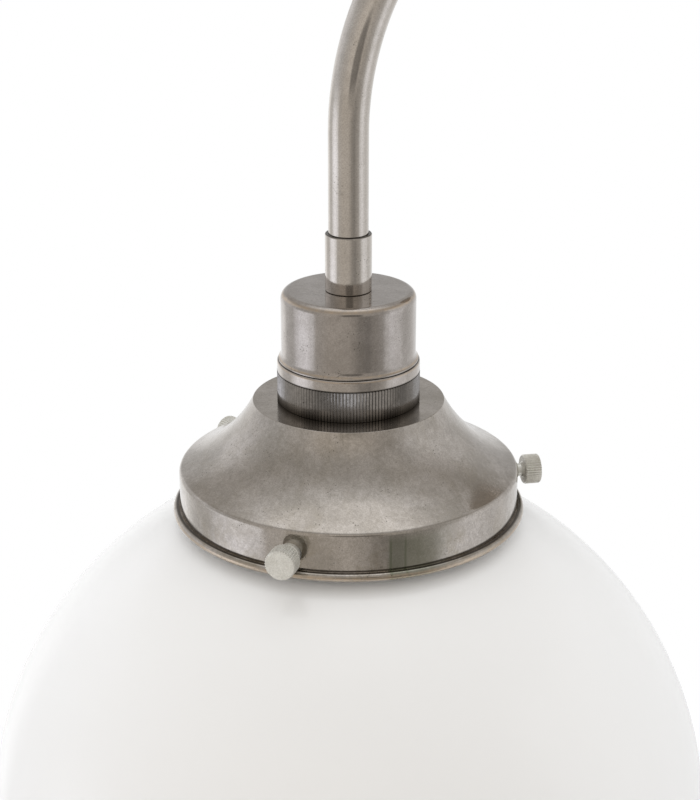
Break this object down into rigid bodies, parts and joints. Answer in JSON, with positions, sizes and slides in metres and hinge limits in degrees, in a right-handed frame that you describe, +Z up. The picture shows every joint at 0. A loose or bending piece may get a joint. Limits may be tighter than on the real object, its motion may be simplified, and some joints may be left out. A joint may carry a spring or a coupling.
{
  "type": "hanging pendant wall sconce",
  "caption": "Wall light with a bent tube arm, knurled lampholder, spun gallery with thumb screws and an opal glass globe.",
  "frame": {"origin": "centre of the wall rose, on the wall plane", "axes": "+Z up; +Y into the wall, so the light stands out towards -Y; +X to the right of someone behind the light who faces the wall"},
  "size_m": [0.2326, 0.3313, 0.4637],
  "materials": {
    "aged_nickel": "aged nickel plate, brushed, patchy tarnish",
    "dark_nickel": "darker aged nickel plate, fine knurling",
    "pale_nickel": "pale worn nickel plate",
    "raw_brass": "plain turned brass",
    "zinc_steel": "zinc plated",
    "porcelain": "satin glaze",
    "opal_glass": "glossy opal, even and opaque",
    "bulb_housing": "matt moulded",
    "bulb_dome": "frosted",
    "bulb_metal": "bright pressed",
    "bulb_glass": "black glass",
    "circuit_board": "white solder mask",
    "block_plastic": "moulded"
  },
  "bodies": {
    "light": {"arm_tube": "aged_nickel", "wall_collar": "aged_nickel", "lamp_collar": "aged_nickel", "wall_nipple": "raw_brass", "lamp_nipple": "raw_brass", "rose_washer": "zinc_steel", "rose_locknut": "zinc_steel", "cap_locknut": "zinc_steel", "wall_rose": "aged_nickel", "rose_boss": "aged_nickel", "wall_bracket": "zinc_steel", "rose_screws": "pale_nickel", "terminal_block": "block_plastic", "terminal_clamps": "raw_brass", "clamp_screws": "zinc_steel", "earth_screw": "raw_brass", "earth_washer": "raw_brass", "holder_cap": "aged_nickel", "holder_barrel": "dark_nickel", "holder_insulator": "porcelain", "screw_shell": "raw_brass", "centre_contact": "raw_brass", "holder_terminals": "raw_brass", "terminal_screws": "zinc_steel", "gallery": "aged_nickel", "screw_bushes": "pale_nickel", "globe": "opal_glass"},
    "upper_ring": {"upper_shade_ring": "dark_nickel"},
    "lower_ring": {"lower_shade_ring": "dark_nickel"},
    "screw_right": {"thumb_screw_right": "pale_nickel"},
    "screw_left": {"thumb_screw_left": "pale_nickel"},
    "screw_front": {"thumb_screw_front": "pale_nickel"},
    "bulb": {"bulb_envelope": "bulb_dome", "bulb_housing": "bulb_housing", "bulb_board": "circuit_board", "bulb_cap": "bulb_metal", "bulb_insulator": "bulb_glass", "bulb_contact": "bulb_metal"}
  },
  "joints": [
    {"name": "upper_ring_turn", "type": "hinge", "parent": "light", "child": "upper_ring", "pos_m": [0, -0.215, -0.145], "axis": [0, 0, 1], "continuous": true},
    {"name": "lower_ring_turn", "type": "hinge", "parent": "light", "child": "lower_ring", "pos_m": [0, -0.215, -0.154], "axis": [0, 0, 1], "continuous": true},
    {"name": "screw_right_out", "type": "slide", "parent": "light", "child": "screw_right", "axis": [0.5512, 0.8344, 0], "range_m": [0, 0.005]},
    {"name": "screw_left_out", "type": "slide", "parent": "light", "child": "screw_left", "axis": [-0.9982, 0.0602, 0], "range_m": [0, 0.005]},
    {"name": "screw_front_out", "type": "slide", "parent": "light", "child": "screw_front", "axis": [0.447, -0.8945, 0], "range_m": [0, 0.005]},
    {"name": "bulb_unscrew", "type": "hinge", "parent": "light", "child": "bulb", "pos_m": [0, -0.215, -0.16], "axis": [0, 0, -1], "range_deg": [0, 1440]}
  ]
}
